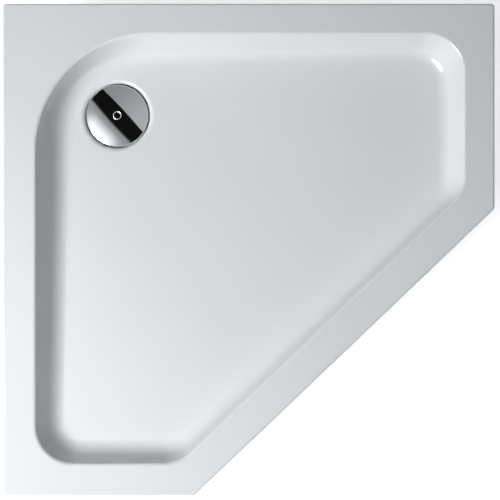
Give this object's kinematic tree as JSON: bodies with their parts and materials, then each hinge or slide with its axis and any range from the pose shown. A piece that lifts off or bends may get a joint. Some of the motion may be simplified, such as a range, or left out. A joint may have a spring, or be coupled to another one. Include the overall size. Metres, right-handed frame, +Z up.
{
  "type": "corner shower tray",
  "caption": "Pentagonal corner shower tray: flat rim, shallow basin falling to a domed chrome waste cover in the wall corner, on adjustable feet above a low trap.",
  "frame": {"origin": "centre of the tray's outer size, on the room floor under the feet", "axes": "+Z up, +Y to the back wall, -X to the left wall; the waste is in the -X +Y corner and the cut faces +X -Y"},
  "size_m": [0.9, 0.9, 0.19],
  "materials": {
    "acrylic": "gloss white acrylic",
    "chipboard": "raw chipboard",
    "galvanised": "galvanised sheet steel",
    "zinc_steel": "bright zinc plate",
    "foam": "closed-cell foam strip",
    "gasket": "black rubber",
    "stainless": "brushed stainless steel",
    "trap_plastic": "light grey plastic",
    "dark_plastic": "black plastic",
    "pipe_plastic": "grey waste pipe plastic",
    "tube_plastic": "black plastic",
    "chrome": "polished chrome"
  },
  "bodies": {
    "tray": {"tray_shell": "acrylic", "base_board": "chipboard", "rail_front": "galvanised", "rail_rear": "galvanised", "foam_strip_front_1": "foam", "foam_strip_front_2": "foam", "foam_strip_rear_1": "foam", "foam_strip_rear_2": "foam", "rail_screws": "zinc_steel", "foot_washers": "zinc_steel", "flange_gasket": "gasket", "trap_gasket": "gasket", "waste_flange": "stainless", "flange_screws": "stainless", "trap_body": "trap_plastic", "outlet_seal": "gasket", "outlet_nut": "dark_plastic", "outlet_pipe": "pipe_plastic"},
    "dip_tube": {"dip_tube": "tube_plastic", "dip_tube_seal": "gasket"},
    "waste_cover": {"waste_cover": "chrome", "cover_eyelet": "chrome"},
    "foot_1": {"foot_rod_1": "zinc_steel", "foot_pad_1": "dark_plastic"},
    "foot_1_nuts": {"foot_adjusting_nut_1": "zinc_steel", "foot_lock_nut_1": "zinc_steel"},
    "foot_2": {"foot_rod_2": "zinc_steel", "foot_pad_2": "dark_plastic"},
    "foot_2_nuts": {"foot_adjusting_nut_2": "zinc_steel", "foot_lock_nut_2": "zinc_steel"},
    "foot_3": {"foot_rod_3": "zinc_steel", "foot_pad_3": "dark_plastic"},
    "foot_3_nuts": {"foot_adjusting_nut_3": "zinc_steel", "foot_lock_nut_3": "zinc_steel"},
    "foot_4": {"foot_rod_4": "zinc_steel", "foot_pad_4": "dark_plastic"},
    "foot_4_nuts": {"foot_adjusting_nut_4": "zinc_steel", "foot_lock_nut_4": "zinc_steel"},
    "foot_5": {"foot_rod_5": "zinc_steel", "foot_pad_5": "dark_plastic"},
    "foot_5_nuts": {"foot_adjusting_nut_5": "zinc_steel", "foot_lock_nut_5": "zinc_steel"}
  },
  "joints": [
    {"name": "dip_tube_lift", "type": "slide", "parent": "tray", "child": "dip_tube", "axis": [0, 0, 1], "range_m": [0, 0.13]},
    {"name": "cover_lift", "type": "slide", "parent": "dip_tube", "child": "waste_cover", "axis": [0, 0, 1], "range_m": [0, 0.08]},
    {"name": "foot_1_nut_turn", "type": "hinge", "parent": "tray", "child": "foot_1_nuts", "pos_m": [-0.18109, -0.29239, 0.08], "axis": [0, 0, 1], "range_deg": [-3601, 3601]},
    {"name": "foot_1_height", "type": "slide", "parent": "tray", "child": "foot_1", "axis": [0, 0, -1], "range_m": [-0.015, 0.015]},
    {"name": "foot_2_nut_turn", "type": "hinge", "parent": "tray", "child": "foot_2_nuts", "pos_m": [0.05762, -0.06453, 0.08], "axis": [0, 0, 1], "range_deg": [-3601, 3601]},
    {"name": "foot_2_height", "type": "slide", "parent": "tray", "child": "foot_2", "axis": [0, 0, -1], "range_m": [-0.015, 0.015]},
    {"name": "foot_3_nut_turn", "type": "hinge", "parent": "tray", "child": "foot_3_nuts", "pos_m": [0.29633, 0.16333, 0.08], "axis": [0, 0, 1], "range_deg": [-3601, 3601]},
    {"name": "foot_3_height", "type": "slide", "parent": "tray", "child": "foot_3", "axis": [0, 0, -1], "range_m": [-0.015, 0.015]},
    {"name": "foot_4_nut_turn", "type": "hinge", "parent": "tray", "child": "foot_4_nuts", "pos_m": [-0.30236, 0.02294, 0.08], "axis": [0, 0, 1], "range_deg": [-3601, 3601]},
    {"name": "foot_4_height", "type": "slide", "parent": "tray", "child": "foot_4", "axis": [0, 0, -1], "range_m": [-0.015, 0.015]},
    {"name": "foot_5_nut_turn", "type": "hinge", "parent": "tray", "child": "foot_5_nuts", "pos_m": [-0.01302, 0.29913, 0.08], "axis": [0, 0, 1], "range_deg": [-3601, 3601]},
    {"name": "foot_5_height", "type": "slide", "parent": "tray", "child": "foot_5", "axis": [0, 0, -1], "range_m": [-0.015, 0.015]}
  ],
  "couplings": [
    {"joint": "foot_1_nut_turn", "follows": "foot_1_height", "rad_per_m": 4188.8},
    {"joint": "foot_2_nut_turn", "follows": "foot_2_height", "rad_per_m": 4188.8},
    {"joint": "foot_3_nut_turn", "follows": "foot_3_height", "rad_per_m": 4188.8},
    {"joint": "foot_4_nut_turn", "follows": "foot_4_height", "rad_per_m": 4188.8},
    {"joint": "foot_5_nut_turn", "follows": "foot_5_height", "rad_per_m": 4188.8}
  ]
}
